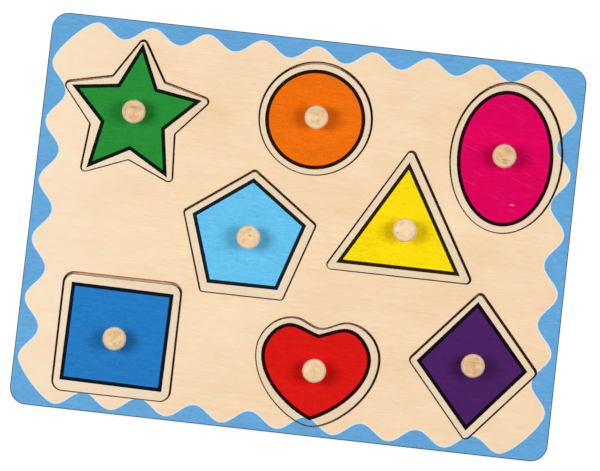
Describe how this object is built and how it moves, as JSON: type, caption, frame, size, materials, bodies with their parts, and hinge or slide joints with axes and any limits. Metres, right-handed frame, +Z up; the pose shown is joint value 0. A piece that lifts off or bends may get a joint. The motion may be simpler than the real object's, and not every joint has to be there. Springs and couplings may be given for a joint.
{
  "type": "peg puzzle",
  "caption": "Flat wooden peg puzzle: a printed board with shaped recesses, each holding a lift-out shape with a turned knob.",
  "frame": {"origin": "centre of the board's outline, on the underside that rests on the table", "axes": "+X along the board's length, +Y across it towards the edge that the star, circle and oval lie along, +Z up through the knobs"},
  "size_m": [0.3, 0.22, 0.022],
  "materials": {
    "printed_plywood": "satin plywood with a printed blue wavy border",
    "backing_plywood": "unprinted sanded plywood",
    "star_print": "green print with a black outline on plywood",
    "circle_print": "orange print with a black outline on plywood",
    "oval_print": "magenta print with a black outline on plywood",
    "pentagon_print": "light blue print with a black outline on plywood",
    "triangle_print": "yellow print with a black outline on plywood",
    "square_print": "blue print with a black outline on plywood",
    "heart_print": "red print with a black outline on plywood",
    "diamond_print": "purple print with a black outline on plywood",
    "turned_wood": "turned and sanded hardwood",
    "screw_steel": "plated steel"
  },
  "bodies": {
    "board": {"frame_board": "printed_plywood", "backing_board": "backing_plywood"},
    "star": {"star_piece": "star_print", "star_knob": "turned_wood", "star_screw": "screw_steel"},
    "circle": {"circle_piece": "circle_print", "circle_knob": "turned_wood", "circle_screw": "screw_steel"},
    "oval": {"oval_piece": "oval_print", "oval_knob": "turned_wood", "oval_screw": "screw_steel"},
    "pentagon": {"pentagon_piece": "pentagon_print", "pentagon_knob": "turned_wood", "pentagon_screw": "screw_steel"},
    "triangle": {"triangle_piece": "triangle_print", "triangle_knob": "turned_wood", "triangle_screw": "screw_steel"},
    "square": {"square_piece": "square_print", "square_knob": "turned_wood", "square_screw": "screw_steel"},
    "heart": {"heart_piece": "heart_print", "heart_knob": "turned_wood", "heart_screw": "screw_steel"},
    "diamond": {"diamond_piece": "diamond_print", "diamond_knob": "turned_wood", "diamond_screw": "screw_steel"}
  },
  "joints": [
    {"name": "star_lift", "type": "slide", "parent": "board", "child": "star", "axis": [0, 0, 1], "range_m": [0, 0.04]},
    {"name": "circle_lift", "type": "slide", "parent": "board", "child": "circle", "axis": [0, 0, 1], "range_m": [0, 0.04]},
    {"name": "oval_lift", "type": "slide", "parent": "board", "child": "oval", "axis": [0, 0, 1], "range_m": [0, 0.04]},
    {"name": "pentagon_lift", "type": "slide", "parent": "board", "child": "pentagon", "axis": [0, 0, 1], "range_m": [0, 0.04]},
    {"name": "triangle_lift", "type": "slide", "parent": "board", "child": "triangle", "axis": [0, 0, 1], "range_m": [0, 0.04]},
    {"name": "square_lift", "type": "slide", "parent": "board", "child": "square", "axis": [0, 0, 1], "range_m": [0, 0.04]},
    {"name": "heart_lift", "type": "slide", "parent": "board", "child": "heart", "axis": [0, 0, 1], "range_m": [0, 0.04]},
    {"name": "diamond_lift", "type": "slide", "parent": "board", "child": "diamond", "axis": [0, 0, 1], "range_m": [0, 0.04]}
  ]
}
